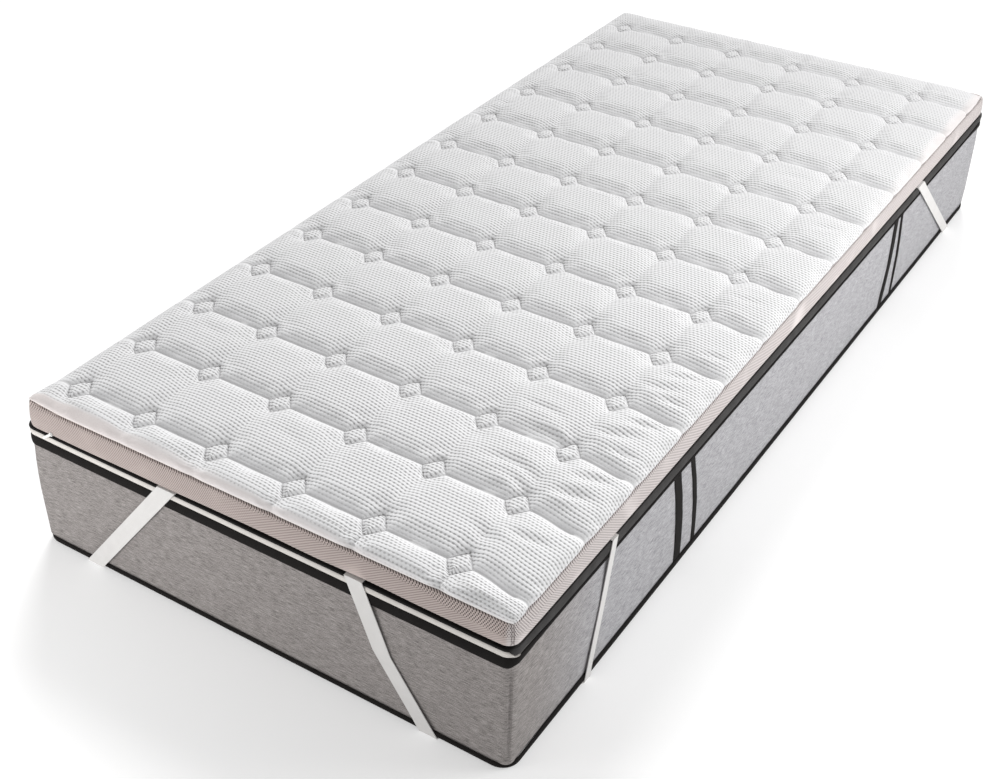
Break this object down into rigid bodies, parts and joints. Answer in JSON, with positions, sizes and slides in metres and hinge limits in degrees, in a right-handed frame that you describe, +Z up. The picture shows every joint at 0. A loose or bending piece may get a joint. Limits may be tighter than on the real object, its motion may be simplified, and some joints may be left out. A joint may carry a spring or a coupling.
{
  "type": "mattress topper on a mattress",
  "caption": "Quilted mattress topper with puffed cells and a spacer-mesh side, held on a box mattress by elastic corner straps.",
  "frame": {"origin": "bottom centre of the mattress", "axes": "+Z up, +Y along the length towards the head end, +X across the width; the foot end faces -Y"},
  "size_m": [0.903, 2.003, 0.2961],
  "materials": {
    "white_knit": "matt double knit with rows of small dimples",
    "spacer_mesh": "matt pinkish-grey spacer mesh with small holes",
    "white_elastic": "flat woven elastic",
    "grey_melange": "slubby grey melange upholstery weave",
    "black_tape": "woven black binding tape",
    "light_piping": "ribbed light piping",
    "white_plastic": "moulded zip pull"
  },
  "bodies": {
    "root": {"mattress_body": "grey_melange", "mattress_top_tape": "black_tape", "mattress_band": "black_tape", "mattress_bottom_tape": "black_tape", "mattress_piping_foot": "light_piping", "mattress_piping_head": "light_piping", "trim_right_front_wide": "black_tape", "trim_right_front_narrow": "black_tape", "trim_right_rear_wide": "black_tape", "trim_right_rear_narrow": "black_tape", "trim_left_front_wide": "black_tape", "trim_left_front_narrow": "black_tape", "trim_left_rear_wide": "black_tape", "trim_left_rear_narrow": "black_tape", "topper_border": "spacer_mesh", "quilt_top": "white_knit", "strap_front_right": "white_elastic", "strap_front_left": "white_elastic", "strap_rear_right": "white_elastic", "strap_rear_left": "white_elastic", "zip_pull": "white_plastic"}
  },
  "joints": []
}
